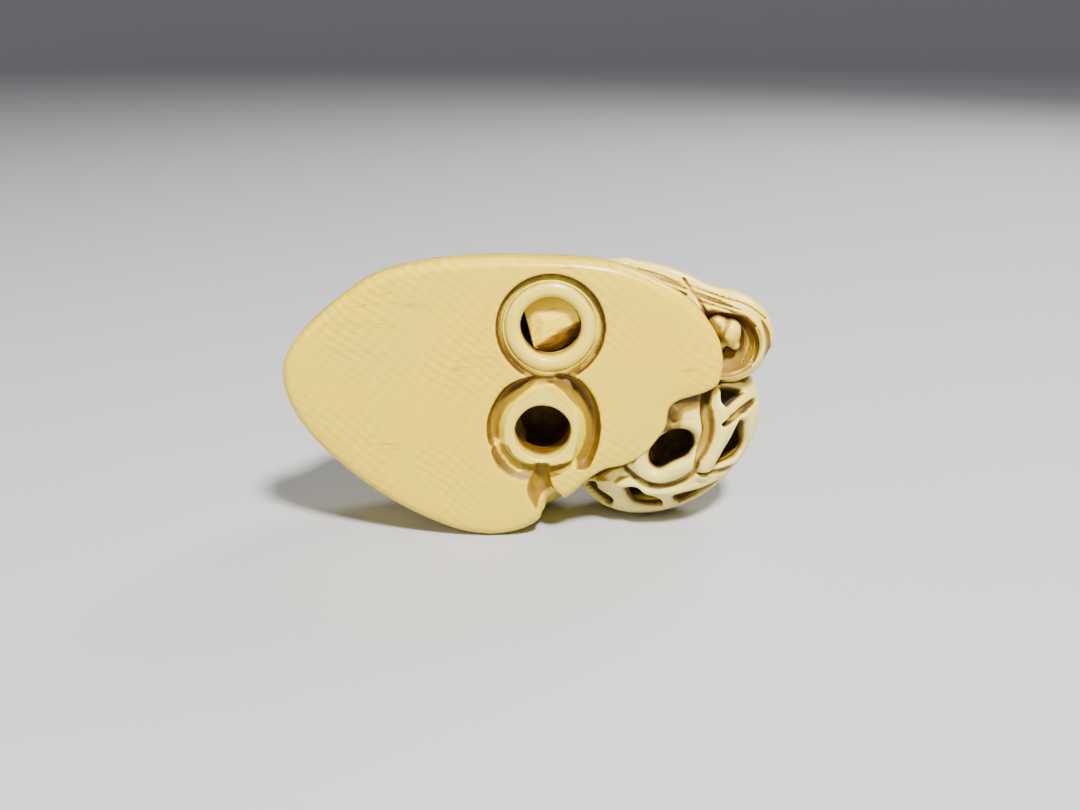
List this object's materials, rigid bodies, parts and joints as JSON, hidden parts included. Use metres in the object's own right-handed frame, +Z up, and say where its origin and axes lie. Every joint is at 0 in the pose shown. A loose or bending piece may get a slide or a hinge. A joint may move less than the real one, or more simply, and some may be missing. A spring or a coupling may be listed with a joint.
{
  "type": "carved ivory toggle button",
  "caption": "Small carved ivory toggle with a flat polished base, collared cord holes joined by a tunnel, and a folded leaf and hollow openwork pod on its domed back.",
  "frame": {"origin": "on the ground under the middle of the bounding box", "axes": "-Y out of the base face, +X along the button's length towards the leaf and pod, +Z up with the button standing on the lower edge of its base"},
  "size_m": [0.0452, 0.0164, 0.0265],
  "materials": {
    "polished_ivory": "polished ivory, faint wavy grain",
    "carved_ivory": "carved ivory, brown stain in the cuts",
    "openwork_ivory": "pierced ivory, brown stain in the cuts",
    "collar_ivory": "polished ivory rings, amber at the edges",
    "fresh_ivory": "whittled, unpolished ivory",
    "peg_ivory": "plain turned ivory, hidden"
  },
  "bodies": {
    "root": {"base_plate": "polished_ivory", "carved_back": "carved_ivory", "folded_leaf": "carved_ivory", "leaf_bud": "carved_ivory", "openwork_pod": "openwork_ivory", "upper_cord_collar": "collar_ivory", "lower_cord_collar": "collar_ivory", "whittled_stub": "fresh_ivory", "plate_pegs": "peg_ivory", "pod_peg": "peg_ivory", "leaf_peg": "peg_ivory"}
  },
  "joints": []
}
